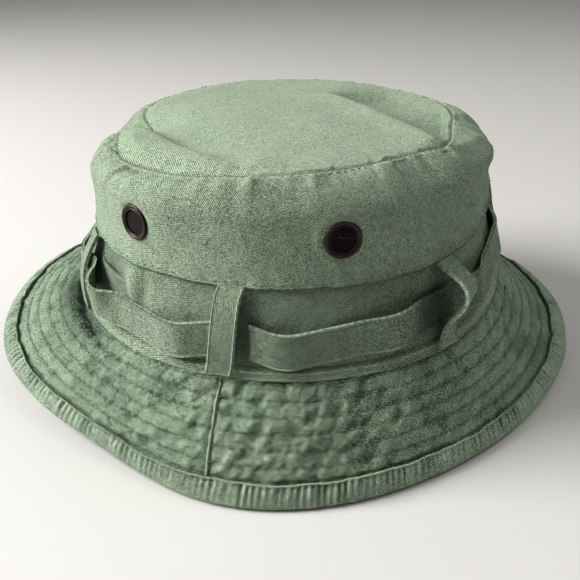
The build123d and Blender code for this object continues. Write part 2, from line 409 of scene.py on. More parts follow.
def twill(name, dark, base, pale, mottle, weave_mm=0.85, sheen=0.25):
    """Washed cotton twill: diagonal weave, two-tone yarn flecks, clouded fading, pale worn edges, painted
    highlight and painted shade.
    """
    material, tree, shader = new_material(name)
    coordinates = tree.nodes.new("ShaderNodeTexCoord")
    place, cloth = coordinates.outputs["Object"], coordinates.outputs["UV"]
    split = tree.nodes.new("ShaderNodeSeparateXYZ")
    tree.links.new(cloth, split.inputs[0])
    u, v = split.outputs[0], split.outputs[1]
    turn = 2 * math.pi / (weave_mm * MM)
    wobble = times(tree, noise_node(tree, place, 160, 2), 3.5)
    diagonal = plus(tree, u, times(tree, v, 0.8))
    ribs = math_node(tree, "SINE", plus(tree, times(tree, diagonal, turn), wobble))
    crossing = minus(tree, v, times(tree, u, 0.25))
    yarns = math_node(tree, "SINE", times(tree, crossing, turn * 1.15))
    weave = plus(tree, times(tree, ribs, 0.65), times(tree, yarns, 0.35))
    flecks = centred_noise(tree, place, 1700, 2, 0.7)
    coarse = centred_noise(tree, place, 700, 2, 0.6)
    clouds = centred_noise(tree, place, 34, 3, 0.55)
    blots = centred_noise(tree, place, 120, 3, 0.6)
    wear_and_painted_light, painted_shade = attribute_node(tree, "wear_and_painted_light"), attribute_node(tree, "painted_shade")

    yarn = ((flecks, 2.9), (coarse, 0.35), (weave, 0.62))
    # Real fading in clouds and blots, then the mesh's marks: paler for wear and painted highlight, darker for
    # painted shade
    fading_and_painted_light = ((clouds, 0.50 * mottle), (blots, 0.60 * mottle), (wear_and_painted_light, 0.55), (painted_shade, -0.45))
    tone = weighted_sum(tree, 0.5, yarn + fading_and_painted_light)
    colour_ramp(tree, shader, tone, ((0.0, dark), (0.5, base), (1.0, pale)), "EASE")
    height = weighted_sum(tree, 0.0, ((weave, 0.5), (flecks, 2.2), (coarse, 2.0), (blots, 3.0)))
    fine_relief(tree, shader, height, 0.55, 0.00016)
    rough = plus(tree, 0.86, times(tree, flecks, 0.2))
    tree.links.new(rough, shader.inputs["Roughness"])
    shader.inputs["Sheen Weight"].default_value = sheen
    shader.inputs["Sheen Roughness"].default_value = 0.45
    shader.inputs["Sheen Tint"].default_value = (0.75, 0.85, 0.72, 1)
    shader.inputs["Specular IOR Level"].default_value = 0.2
    return material


def thread(name, colour, dark):
    """Twisted sewing thread, a little faded and fuzzy."""
    material, tree, shader = new_material(name)
    coordinates = tree.nodes.new("ShaderNodeTexCoord")
    place = coordinates.outputs["Object"]
    colour_ramp(tree, shader, noise_node(tree, place, 260, 3, 0.7), ((0.32, dark), (0.62, colour)))
    fine_relief(tree, shader, noise_node(tree, place, 2600, 1), 0.5, 0.0001)
    shader.inputs["Roughness"].default_value = 0.7
    shader.inputs["Sheen Weight"].default_value = 0.2
    return material


def enamel(name, colour, worn, metallic=0.55, rough=0.38):
    """Dark enamelled metal, worn through to a warmer tone on its high edges."""
    material, tree, shader = new_material(name)
    coordinates = tree.nodes.new("ShaderNodeTexCoord")
    place = coordinates.outputs["Object"]
    wear_and_painted_light = attribute_node(tree, "wear_and_painted_light")
    patches = noise_node(tree, place, 500, 4, 0.7)
    rubbed = plus(tree, times(tree, wear_and_painted_light, 0.7), times(tree, patches, 0.55))
    colour_ramp(tree, shader, rubbed, ((0.25, colour), (0.95, worn)))
    tree.links.new(plus(tree, rough - 0.1, times(tree, patches, 0.3)), shader.inputs["Roughness"])
    fine_relief(tree, shader, patches, 0.25, 0.00008)
    shader.inputs["Metallic"].default_value = metallic
    return material


CROWN = twill("crown_twill", (0.075, 0.105, 0.078), (0.235, 0.305, 0.220), (0.50, 0.60, 0.45), mottle=0.35)
BRIM = twill("brim_twill", (0.040, 0.066, 0.046), (0.165, 0.232, 0.162), (0.42, 0.52, 0.38), mottle=0.75)
BINDING = twill("binding_twill", (0.045, 0.072, 0.052), (0.190, 0.262, 0.186), (0.50, 0.60, 0.46), mottle=0.6)
STRAPPING = twill("strap_twill", (0.045, 0.068, 0.049), (0.17, 0.228, 0.163), (0.46, 0.55, 0.42), mottle=0.45)
INSIDE = twill(
    "sweatband_cotton", (0.060, 0.085, 0.062), (0.20, 0.26, 0.19), (0.36, 0.44, 0.33),
    mottle=0.5, weave_mm=0.6,
)
FELT = twill(
    "interlining", (0.35, 0.33, 0.29), (0.62, 0.60, 0.54), (0.75, 0.73, 0.68),
    mottle=0.4, weave_mm=0.7, sheen=0.05,
)
PALE_THREAD = thread("faded_thread", (0.50, 0.58, 0.45), (0.20, 0.26, 0.19))
# The darker thread is the same thread with painted shade, for stitches in shadowed seams and ditches
SHADED_THREAD = thread("shaded_thread", (0.24, 0.31, 0.23), (0.07, 0.10, 0.07))
METAL = enamel("vent_metal", (0.014, 0.009, 0.009), (0.075, 0.050, 0.045))
MESH = enamel("vent_mesh", (0.018, 0.012, 0.012), (0.09, 0.065, 0.062), metallic=0.3, rough=0.55)

# ---------------- the hat's surfaces


def polar(r, theta, z):
    a = rad(theta)
    return np.stack([r * np.cos(a), r * np.sin(a), z + 0 * r], -1)


def surface_normal(surface, u, v, du, dv, sign=1):
    a = surface(u + du, v) - surface(u - du, v)
    b = surface(u, v + dv) - surface(u, v - dv)
    n = np.cross(a, b)
    return sign * n / np.maximum(np.linalg.norm(n, axis=-1, keepdims=True), 1e-12)


def band_r(z):
    return ROOT_R + (WAIST_R - ROOT_R) * (z - ROOT_Z) / (WAIST_Z - ROOT_Z)


# Crown sides: a leaning wall, then a round shoulder that ends at the tip seam


def side_profile():
    """Outline of the crown side from the waist to the tip seam, with the length run along it."""
    count = 160
    start, end = np.array([SHOULDER_R, SHOULDER_Z]), np.array([TIP_R, TIP_Z])
    wall = np.array([SHOULDER_R - WAIST_R, SHOULDER_Z - WAIST_Z])
    wall /= np.linalg.norm(wall)
    inward = np.array([-wall[1], wall[0]])
    chord = end - start
    radius = chord @ chord / (2 * chord @ inward)
    centre = start + radius * inward
    a0 = math.atan2(*(start - centre)[::-1])
    a1 = math.atan2(*(end - centre)[::-1])
    turn = np.linspace(a0, a1, count)
    arc = centre + radius * np.stack([np.cos(turn), np.sin(turn)], -1)
    line = np.linspace((WAIST_R, WAIST_Z), start, count)[:-1]
    points = np.concatenate([line, arc])
    run = np.concatenate([[0], np.cumsum(np.linalg.norm(np.diff(points, axis=0), axis=1))])
    return run, points


SIDE_RUN, SIDE_POINTS = side_profile()
SIDE_HEIGHT = SIDE_RUN[-1]
DENT_ANGLE, DENT_WIDTH, DENT_DEPTH = -167.0, 15.0, 14.0
OVAL_ANGLE = 16  # direction in which the crown is narrowest
CORNER_ANGLE = -19  # where the fold across the tip meets its seam


def tip_dent(theta):
    """Where the back left of the crown has caved in: the tip seam is pulled towards the middle."""
    return angle_hump(theta, DENT_ANGLE, DENT_WIDTH) * DENT_DEPTH


def seam_r(theta):
    """Radius of the tip seam: an oval with a cave-in and small wobbles."""
    oval = -0.8 * np.cos(2 * rad(theta - OVAL_ANGLE))
    corner = 1.5 * angle_hump(theta, -24, 5) - 4.2 * angle_hump(theta, -42, 17)
    corner = corner - 5.0 * angle_hump(theta, 2, 20)
    bulge = 2.4 * angle_hump(theta, -112, 20) + 2.4 * angle_hump(theta, -125, 8)
    bulge = bulge - 1.0 * angle_hump(theta, -143, 7)
    return TIP_R - tip_dent(theta) + oval + corner + bulge + 0.5 * around(theta, 0 * theta, 70, 10, 41, 2)


def seam_z(theta):
    sway = 0.5 * around(theta, 0 * theta, 90, 10, 43, 2) - 2.6 * angle_hump(theta, -112, 24)
    sway = sway - 1.6 * angle_hump(theta, -8, 18) - 2.2 * angle_hump(theta, 174, 20)
    return TIP_Z - 0.38 * tip_dent(theta) + sway


def side_base(theta, run):
    share = np.clip(run / SIDE_HEIGHT, -0.1, 1)
    r = np.interp(run, SIDE_RUN, SIDE_POINTS[:, 0])
    z = np.interp(run, SIDE_RUN, SIDE_POINTS[:, 1])
    r = np.where(run < 0, WAIST_R, r)
    z = np.where(run < 0, WAIST_Z + run, z)
    upper = ease(share, 0.45, 1.0)
    r = r + upper * (seam_r(theta) - TIP_R)
    z = z + upper * (seam_z(theta) - TIP_Z) + 0.05 * tip_dent(theta) * hump(share, 0.86, 0.12)
    oval = -0.9 * np.cos(2 * rad(theta - OVAL_ANGLE)) * ease(share, 0, 0.4) * (1 - upper)
    return polar(r + oval, theta, z)


def side_relief(theta, run):
    """How far the cloth stands out from the plain crown side."""
    share = run / SIDE_HEIGHT
    below = SIDE_HEIGHT - run
    flow = theta + below * 0.36 * angle_hump(theta, -132, 30)
    puckers = around(flow, 0 * run + 3.1, 5.4, 10, 51, 1) + 0.25 * around(flow, 0 * run, 2.6, 10, 53, 1)
    depth = 1.5 + 2.2 * angle_hump(theta, -130, 20) + 0.8 * angle_hump(theta, -45, 25)
    fall = np.exp(-below / (6.0 + 7.0 * angle_hump(theta, -130, 22)))
    relief = depth * puckers * fall * ease(below, 0.3, 3.0)
    # The fold that runs on from the tip's front corner
    past = theta_from(theta, CORNER_ANGLE)
    relief = relief + 0.6 * hump(below - 0.35 * past, 3.0, 2.4) * ease(past, 0, 5) * (1 - ease(past, 22, 40))
    relief = relief + 0.30 * around(theta, run, 5.5, 9, 55, 2) * np.exp(-run / 4.5)
    relief = relief + 1.3 * around(theta, run, 50, 30, 57, 2) * ease(share, 0.05, 0.3) * ease(below, 0, 10)
    relief = relief + 0.45 * around(theta + run * 0.5, run, 15, 13, 59, 2) * ease(below, 0, 4)
    relief = relief + 1.1 * np.exp(-run / 3.6) - 0.15 * hump(run, 3.3, 0.8) - 0.3 * hump(below, 0, 0.9)
    for _, centre in vent_centres():
        away = np.hypot(wrap(theta - centre) * SIDE_ARC, run - (VENT_Z - WAIST_Z))
        relief = relief * (1 - 0.9 * np.exp(-((away / 9.0) ** 4))) + 0.25 * hump(away, 8.8, 1.4)
    return relief


def side_surface(theta, run, lift=0.0):
    n = surface_normal(side_base, theta, run, 0.3, 0.3)
    return side_base(theta, run) + n * (side_relief(theta, run) + lift)[..., None], n


# Crown band


def band_base(theta, z):
    flare = 1.3 * np.exp(-(z - ROOT_Z) / 1.6)
    return polar(band_r(z) + flare, theta, z)


def band_relief(theta, z):
    relief = 0.32 * around(theta, z, 12, 12, 61, 3)
    free = ease(z, ROOT_Z + 2, ROOT_Z + 12) * ease(WAIST_Z - z, 0, 8)
    relief = relief + 0.75 * around(theta, z, 46, 30, 63, 2) * free
    relief = relief + 2.0 * angle_hump(theta, -116, 2.6) * hump(z, 69, 6)
    relief = relief - 1.1 * angle_hump(theta, -112, 2.0) * hump(z, 70, 7)
    relief = relief - 3.2 * angle_hump(theta, -129, 8) * hump(z, 66, 12)
    relief = relief + 0.25 * around(theta, z, 4.5, 14, 65, 2) * np.exp(-(WAIST_Z - z) / 6.0)
    relief = relief + 0.7 * hump(z, ROOT_Z + 1.5, 0.9) - 0.4 * hump(z, ROOT_Z + 3.2, 0.6)
    return np.minimum(relief, 2.2) - 0.35


def band_surface(theta, z, lift=0.0):
    n = surface_normal(band_base, theta, z, 0.3, 0.3)
    return band_base(theta, z) + n * (band_relief(theta, z) + lift)[..., None], n


# Brim


def edge_z(theta):
    free = EDGE_MEAN + 0 * theta
    for waves, high, phase in EDGE_WAVES:
        free = free + high * np.cos(rad(waves * theta - phase))
    free = free + 0.8 * around(theta, 0 * theta, 30, 10, 71, 2) * ease(free, EDGE_FLOOR, EDGE_FLOOR + 5)
    return EDGE_FLOOR + EDGE_SETTLE * np.log1p(np.exp((free - EDGE_FLOOR) / EDGE_SETTLE))


def brim_width(theta):
    width = BRIM_WIDTH + 0 * theta
    for middle, depth, reach in BRIM_TUCKS:
        width = width - depth * angle_hump(theta, middle, reach)
    return width - 1.4 * angle_hump(theta, -72, 30)


def brim_base(theta, s):
    """A point of the plain brim. s runs to BRIM_WIDTH at the edge, wherever the brim is gathered narrower."""
    width = brim_width(theta)
    slope = np.arcsin(np.clip((ROOT_Z - edge_z(theta)) / width, -0.95, 0.95))
    share = s / BRIM_WIDTH
    along = share * width
    bow = 1.6 - 3.4 * angle_hump(theta, 5, 40) + 0.10 * (BRIM_WIDTH - width)
    bow = bow * np.sin(np.clip(share, 0, 1) * math.pi)
    r = ROOT_R + along * np.cos(slope) + bow * np.sin(slope)
    z = ROOT_Z - along * np.sin(slope) + bow * np.cos(slope)
    past = theta_from(theta, GUTTER_MIDDLE)
    reach = ease(theta_from(theta, GUTTER_START), 0, 14) * (1 - ease(past, 14, 32))
    line = 3.0 + 0.10 * past
    fold = -4.6 * hump(s, line, 3.4) + 2.2 * hump(s, line + 8.5, 4.0)
    flare = 1.6 * ease(s, 38, 50) * angle_hump(theta, 5, 36)
    return polar(r, theta, z + fold * reach + flare)


def brim_relief(theta, s):
    """Quilting: the cloth puffs between the stitched rows and gathers along them."""
    rows = (s - QUILT_FIRST) / QUILT_PITCH
    puff = 0.50 * (np.abs(np.sin(np.clip(rows, -0.5, QUILT_ROWS - 0.5) * math.pi)) ** 0.7) - 0.24
    puff = puff * (1.2 - 0.7 * angle_hump(theta, -75, 38))
    gathers = 0.52 * around(theta + 0.2 * s, s, 4.2, 5.2, 81, 2) + 0.16 * around(theta, s, 2.4, 3.4, 83, 1)
    gathers = gathers * (1 + 0.45 * angle_hump(theta, -75, 38))
    waves = 0.45 * around(theta, s, 16, 14, 85, 2)
    edge = ease(s, -1, 3)
    return (puff + gathers + waves) * edge


def brim_surface(theta, s, lift=0.0):
    n = surface_normal(brim_base, theta, s, 0.3, 0.3, sign=-1)
    return brim_base(theta, s) + n * (brim_relief(theta, s) + lift)[..., None], n


def slack(theta):
    """How far the foliage band stands off the crown between its tacks."""
    bays = ((theta - FIRST_LOOP_ANGLE) % 360) / BAY_ANGLE
    gap = np.asarray(BAY_GAPS, float)[bays.astype(int) % len(BAY_GAPS)]
    stiff = 0.8 + 0.10 * angle_hump(theta, -128, 14) - 0.65 * angle_hump(theta, 16, 26)
    return stiff * gap * np.sin(math.pi * bays) ** 4


def root(piece, slot_name, *nodes):
    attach(piece, "root")
    if nodes:
        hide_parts(*nodes)
    return piece


def grid(start, end, count, low, high, rows):
    return np.meshgrid(np.linspace(start, end, count), np.linspace(low, high, rows), indexing="ij")


# ---------------- crown pieces


CREASE = (-60, -23, -2, -73)  # folds of the tip, each from one point to another
RIDGE = (4, 44, 71, -27)


def segment_gap(x, y, ax, ay, bx, by):
    """Signed distance to a line from a to b (positive on its left), and how far along it, 0 to 1."""
    dx, dy = bx - ax, by - ay
    length = math.hypot(dx, dy)
    along = ((x - ax) * dx + (y - ay) * dy) / length
    across = (dx * (y - ay) - dy * (x - ax)) / length
    across = across + 1.3 * flat_noise(x, y, 26, 97, 2) + 2.0 * np.sin(math.pi * along / length)
    return across, along / length


def tip_height(x, y):
    theta = np.degrees(np.arctan2(y, x))
    r = np.hypot(x, y)
    share = np.clip(r / seam_r(theta), 0, 1)
    z = seam_z(theta) * share**4 + (TIP_Z + 0.5) * (1 - share**4)
    z = z + 1.0 * (1 - share**2) + 1.7 * (1 - share**14)
    z = z - 0.30 * np.exp(-(((1 - share) * TIP_SCALE / 0.8) ** 2))
    inner = ease(1 - share, 0.0, 0.16)
    # The straight crease that sets off a raised pillow along the seam at the left
    d, along = segment_gap(x, y, *CREASE)
    reach = ease(along, -0.22, 0.06) * (1 - ease(along, 0.72, 1.12))
    flank = 1.0 - ease(d, -7.0, 4.5)
    pillow = 2.2 * flank
    hollow = -3.6 * np.where(d > 4.5, hump(d, 4.5, 15), hump(d, 4.5, 6.0))
    z = z + (pillow * ease(1 - share, 0.0, 0.10) + hollow) * reach
    # The fold that runs across to the front corner, with a dip beyond it
    d, along = segment_gap(x, y, *RIDGE)
    reach = ease(along, -0.02, 0.2) * (1 - ease(along, 1.0, 1.2))
    dip = -6.0 * np.where(d < 13, hump(d, 13, 7.5), hump(d, 13, 20.0))
    ridge = 1.6 * hump(d, -3, 7.0)
    z = z + (dip + ridge) * reach * ease(1 - share, 0.0, 0.07)
    z = z + inner * (0.9 * flat_noise(x, y, 42, 91, 2) + 0.35 * flat_noise(x, y, 15, 93, 2))
    near_seam = np.exp(-((1 - share) * TIP_SCALE / 5.0))
    z = z + 0.6 * around(theta, 0 * theta, 5, 10, 95, 2) * near_seam * ease(1 - share, 0.0, 0.02)
    return z


def crown_tip():
    count = 250
    u, v = grid(-1, 1, count, -1, 1, count)
    x, y = u * np.sqrt(1 - v * v / 2), v * np.sqrt(1 - u * u / 2)
    theta = np.degrees(np.arctan2(y, x))
    r = seam_r(theta) + 0.1
    x, y = x * r, y * r
    z = tip_height(x, y)
    top = np.stack([x, y, z], -1)
    share = np.hypot(x, y) / r
    wear_and_painted_light = 0.08 + 0.15 * hump(share, 0.975, 0.012)
    # Painted shade in the seam's ditch, along the crease's hollow and beyond the ridge, where the folds turn
    # from the light
    painted_shade = 0.9 * np.exp(-((1 - share) * TIP_SCALE / 0.6) ** 2)
    d, along = segment_gap(x, y, *CREASE)
    painted_shade = painted_shade + 0.42 * hump(d, 1.5, 3.6) * ease(along, -0.2, 0.05) * (1 - ease(along, 0.7, 1.1))
    d, along = segment_gap(x, y, *RIDGE)
    painted_shade = painted_shade + 0.75 * ease(d, 0, 2.5) * (1 - ease(d, 16, 40)) * ease(along, 0.0, 0.15)
    piece = sheet_solid("tip", top, PLY, np.stack([x, y], -1), CROWN, wear_and_painted_light, painted_shade)
    root(piece, "crown_twill", "crown_tip")


def vent_centres():
    for side, centre in (("left", -VENT_MIDDLE), ("right", VENT_MIDDLE)):
        towards_front = 1 if side == "left" else -1
        for end, sign in (("front", towards_front), ("back", -towards_front)):
            yield f"{end}_{side}", centre + sign * VENT_ANGLE


def crown_sides():
    for label, start in (("left", 180.0), ("right", 0.0)):
        theta, run = grid(start, start + 180.0, 460, 0.0, SIDE_HEIGHT, 78)
        keep = np.ones((len(theta) - 1, len(theta[0]) - 1), bool)
        for _, centre in vent_centres():
            inside = np.hypot(wrap(theta - centre) * SIDE_ARC, run - (VENT_Z - WAIST_Z)) < VENT_HOLE_R
            gone = inside[:-1, :-1] | inside[1:, :-1] | inside[:-1, 1:] | inside[1:, 1:]
            keep &= ~gone
        top, _ = side_surface(theta, run)
        relief = side_relief(theta, run)
        below = SIDE_HEIGHT - run
        near_seam = np.exp(-below / 12)
        wear_and_painted_light = 0.12 * np.exp(-run / 1.2) + 0.65 * hump(below, 1.4, 0.6)
        # Paler where the puckers stand up: partly wear, partly painted highlight
        wear_and_painted_light = wear_and_painted_light + 0.22 * np.clip(relief, 0, 1) * near_seam
        # Painted shade in the tip seam's ditch, in the puckers' hollows, on the crown's right side and in a
        # dark line at the waist seam
        painted_shade = 0.9 * hump(below, 0, 0.7) + 0.8 * np.clip(-relief, 0, 1.2) * near_seam
        painted_shade = painted_shade + 0.12 * np.exp(-below / 14) + 0.28 * angle_hump(theta, -12, 30)
        painted_shade = painted_shade + 0.15 * hump(run, 3.2, 0.7) + 0.8 * np.exp(-run / 0.5)
        uv = np.stack([theta * SIDE_ARC, run], -1)
        piece = sheet_solid(f"side_{label}", top, PLY, uv, CROWN, wear_and_painted_light, painted_shade, keep=keep)
        root(piece, "crown_twill", f"crown_side_{label}")


def crown_bands():
    for label, start in (("left", 180.0), ("right", 0.0)):
        theta, z = grid(start, start + 180.0, 460, ROOT_Z - 0.6, WAIST_Z + 0.5, 64)
        top, _ = band_surface(theta, z)
        relief = band_relief(theta, z)
        # Paler at the root, along its seam and on raised folds: wear, with painted highlight on the folds
        wear_and_painted_light = 0.3 * (np.exp(-(z - ROOT_Z) / 1.5) + np.clip(relief, 0, 1) + hump(z, ROOT_Z + 1.6, 0.7))
        # Painted shade: darker all over, under the waist's overhang, in the hollows and in a line above the
        # root seam
        painted_shade = 0.36 + 0.5 * np.exp(-(WAIST_Z - z) / 2.4) + 1.6 * hump(z, WAIST_Z, 0.7)
        painted_shade = painted_shade + 0.4 * np.clip(-relief - 0.35, 0, 1) + 0.4 * hump(z, ROOT_Z + 3.4, 0.6)
        # Painted shadow beside two of the loops
        painted_shade = painted_shade + 1.8 * angle_hump(theta, -84.6, 2.4) * hump(z, 62, 13)
        painted_shade = painted_shade + 0.8 * angle_hump(theta, -38, 8) * hump(z, 62, 14)
        uv = np.stack([theta * BAND_ARC, z], -1)
        piece = sheet_solid(f"band_{label}", top, PLY, uv, CROWN, wear_and_painted_light, painted_shade)
        root(piece, "crown_twill", f"crown_band_{label}")


def sweatband():
    theta, z = grid(0, 359.5, 720, SWEATBAND_LOW, SWEATBAND_HIGH, 40)
    r = SWEATBAND_R + 0.05 + 0.12 * around(theta, z, 20, 20, 101, 2)
    r = r - 0.25 * hump(z, SWEATBAND_HIGH - 1.2, 0.8) - 0.2 * hump(z, SWEATBAND_LOW + 1.4, 0.9)
    inner = polar(r, theta, z)
    outer = polar(np.maximum(band_r(z) - PLY - 1.1, r + 0.5), theta, z)
    wear_and_painted_light = 0.3 * hump(z, SWEATBAND_HIGH - 0.8, 0.6)
    # A thin line of painted shade below the top edge
    painted_shade = 0.3 * hump(z, SWEATBAND_HIGH - 2.6, 0.5)
    uv = np.stack([theta * SWEATBAND_ARC, z], -1)
    piece = sheet_solid("inner_band", outer, PLY, uv, INSIDE, wear_and_painted_light, painted_shade, closed=True, bottom=inner)
    root(piece, "sweatband_cotton", "sweatband")


# ---------------- brim pieces


def brim_pieces():
    halves = (("front", -90.0), ("back", 90.0))
    for label, start in halves:
        theta, s = grid(start, start + 180.0, 640, -0.6, BRIM_WIDTH - 0.8, 100)
        seam_side = np.minimum(np.abs(wrap(theta + 90)), np.abs(wrap(theta - 90))) * 2.0
        ditch = 0.40 * np.exp(-((seam_side / 0.5) ** 2)) - 0.35 * hump(seam_side, 1.1, 0.5)
        ditch = ditch - 0.7 * hump(s, BRIM_WIDTH - BINDING_LAP - 0.5, 0.9)
        top, _ = brim_surface(theta, s, ditch)
        relief = brim_relief(theta, s)
        rows = (s - QUILT_FIRST) / QUILT_PITCH
        stitch = np.exp(-((rows - np.round(rows)) * QUILT_PITCH / 0.55) ** 2) * (rows < QUILT_ROWS - 0.4)
        # Painted shade along the quilted rows, in the hollows between puffs, beside the seams and in the gap
        # by the binding
        painted_shade = 0.70 * stitch + 0.85 * np.clip(-relief, 0, 0.7) + 0.5 * hump(seam_side, 0.9, 0.4)
        painted_shade = painted_shade + 0.9 * hump(s, BRIM_WIDTH - BINDING_LAP - 0.4, 0.9)
        # Painted shade in the gutter at the back left
        gutter = ease(theta_from(theta, -172), 0, 14) * (1 - ease(theta_from(theta, GUTTER_MIDDLE), 14, 32))
        painted_shade = painted_shade + 1.25 * hump(s, 8, 10) * gutter
        # Paler on the puffs and along the seam: wear, with painted highlight on the puffs
        wear_and_painted_light = 0.30 * np.clip(relief - 0.05, 0, 0.8) + 0.5 * hump(seam_side, 0, 0.35)
        # Painted light on the right of the brim
        wear_and_painted_light = wear_and_painted_light + 0.10 * angle_hump(theta, -14, 30)
        uv = np.stack([theta * BRIM_ARC, s], -1)
        piece = sheet_solid(f"brim_top_{label}_cloth", top, PLY, uv, BRIM, wear_and_painted_light, painted_shade, flip=True)
        root(piece, "brim_twill", f"brim_top_{label}")

        under_lift = -(2.1 + 0.9 * np.clip(relief, -0.5, 1)) - ditch - relief
        under, _ = brim_surface(theta, s, under_lift)
        upper, _ = brim_surface(theta, s, under_lift + PLY)
        name = f"brim_under_{label}_cloth"
        piece = sheet_solid(name, upper, PLY, uv + 3.3, BRIM, wear_and_painted_light, painted_shade, bottom=under, flip=True)
        root(piece, "brim_twill", f"brim_under_{label}")

        theta, s = grid(start + 0.3, start + 179.7, 240, 0.0, BRIM_WIDTH - 1.5, 30)
        flat = -0.9 - brim_relief(theta, s) + np.minimum(brim_relief(theta, s), 0)
        top, _ = brim_surface(theta, s, flat)
        base, _ = brim_surface(theta, s, flat - 0.3)
        uv = np.stack([theta * BRIM_ARC, s], -1)
        piece = sheet_solid(f"brim_stiffener_{label}", top, 0.3, uv, FELT, bottom=base, flip=True)
        root(piece, "interlining", f"brim_interlining_{label}")


def binding_puckers(theta, s):
    slant = theta + (s - 45) * 0.05
    ribs = np.sin(rad(slant * BINDING_RIBS) + 2.2 * around(theta, 0 * s, 7.0, 10, 111, 1))
    lumps = 0.45 * around(theta, 0 * s, 1.7, 10, 117, 1)
    puckers = (0.40 * ribs + lumps) * (0.8 + 0.6 * around(theta, 0 * s, 9, 10, 113, 2))
    return puckers + 0.3 * around(slant, s * 0.2, 4.6, 6, 115, 1)


def binding_point(theta, s, side, height):
    """A point of the binding: s down the brim, side 1 above and -1 below, height off the brim's faces."""
    n = surface_normal(brim_base, theta, s, 0.3, 0.3, sign=-1)
    middle = -1.05
    return brim_base(theta, s) + n * (middle + side * height)[..., None]


def brim_binding():
    """The folded tape round the edge: it goes over the top, round the edge and back underneath."""
    nu, flat, bend = 2880, 20, 9
    theta = np.linspace(-90, 270, nu, endpoint=False)
    inner_s = BRIM_WIDTH - BINDING_LAP
    edge_s = BRIM_WIDTH - 0.6
    run = np.linspace(0, 1, flat)
    down = inner_s + (edge_s - inner_s) * run
    s_line = np.concatenate([down, np.full(bend, edge_s), down[::-1]])
    turn = np.concatenate([np.zeros(flat), np.linspace(0, math.pi, bend + 2)[1:-1], np.full(flat, math.pi)])
    T, S = np.meshgrid(theta, s_line, indexing="ij")
    A = np.broadcast_to(turn, T.shape)
    across = (S - inner_s) / (edge_s - inner_s)
    folds = binding_puckers(T, S)
    fall = ease(across, 0.0, 0.14) * (1 - 0.6 * ease(across, 0.4, 0.9))
    puff = 0.62 * folds * fall + 0.45 * hump(across, 0.55, 0.4)
    lip = 0.65 * hump(across, 0.02, 0.06)
    reach = 1.75 + puff + lip + np.clip(brim_relief(T, S), -0.2, 0.6) * (1 - across)
    reach = reach + 0.25 * around(T, 0 * S, 12, 10, 117, 2) * (1 - across)
    wobble = 0.35 * around(T, 0 * T, 7, 10, 119, 2)
    S = S + wobble * (1 - across)
    side = np.cos(A)
    out = np.sin(A) * (1.9 + 0.2 * folds)
    outer = binding_point(T, S + out, side, np.abs(reach))
    inside_reach = np.maximum(reach - 0.75, 0.95)
    inner = binding_point(T, S + out * 0.55, side, inside_reach)
    length = np.concatenate([[0], np.cumsum(np.linalg.norm(np.diff(outer[0], axis=0), axis=1))])
    uv = np.stack([T * BINDING_ARC, np.broadcast_to(length, T.shape)], -1)
    # A pale worn lip and fold edge, painted highlight on the pucker tops, and painted light on the right of
    # the binding
    wear_and_painted_light = 0.65 * hump(across, 0.03, 0.05) * (A < 1) + 0.85 * np.clip(folds, 0, 1) * fall
    wear_and_painted_light = wear_and_painted_light + 0.15 * hump(A, math.pi / 2, 0.6) + 0.35 * angle_hump(T, -8, 40)
    # Painted shade between the puckers and in a line beside the lip
    painted_shade = 1.35 * np.clip(-folds, 0, 1) * fall + 0.4 * hump(across, 0.14, 0.05)
    piece = sheet_solid(
        "edge_binding", outer, 0.75, uv, BINDING, wear_and_painted_light, painted_shade, closed=True, bottom=inner, flip=True
    )
    root(piece, "binding_twill", "brim_binding")


# ---------------- straps and loops


def strap(name, points, out, up, width, thickness, worn_ends, painted_shade_ends, uv_start=0.0):
    """A folded strap along a line of points: flat faces, round edges, a stitched hem along each edge.

    out and up are its outward and widthways directions. The last two arrays add wear, and painted shade, at
    some of the points.
    """
    v = np.linspace(-1, 1, STRAP_ROWS)
    hem = (0.16 * hump(np.abs(v), 0.93, 0.07) - 0.10 * hump(np.abs(v), 0.80, 0.06)) * thickness
    P = points[:, None] + up[:, None] * (v * width / 2)[None, :, None]
    face = P + out[:, None] * (thickness / 2 + hem)[None, :, None]
    back = P - out[:, None] * (thickness / 2 + hem)[None, :, None]
    run = np.concatenate([[0], np.cumsum(np.linalg.norm(np.diff(points, axis=0), axis=1))])
    U, V = np.meshgrid(run + uv_start, v * width / 2, indexing="ij")
    edge = np.abs(np.broadcast_to(v, U.shape))
    worn = 0.45 + 0.35 * flat_noise(U, V, 9, 125, 2)
    wear_and_painted_light = worn * hump(edge, 1.0, 0.05) + worn_ends[:, None]
    # Painted shade in a line inside each hem, and along the stretches given
    painted_shade = 0.25 * hump(edge, 0.80, 0.05) + painted_shade_ends[:, None]
    return sheet_solid(name, face, thickness, np.stack([U, V], -1), STRAPPING, wear_and_painted_light, painted_shade, bottom=back)


# Where the foliage band has slipped up or down, how far, and over what angle
STRAP_RISES = (
    (-107, -1.9, 13), (-87, 1.6, 6), (-74, -1.8, 9), (-136, 5.0, 9), (-42, 2.6, 11), (-26, 3.0, 10),
)


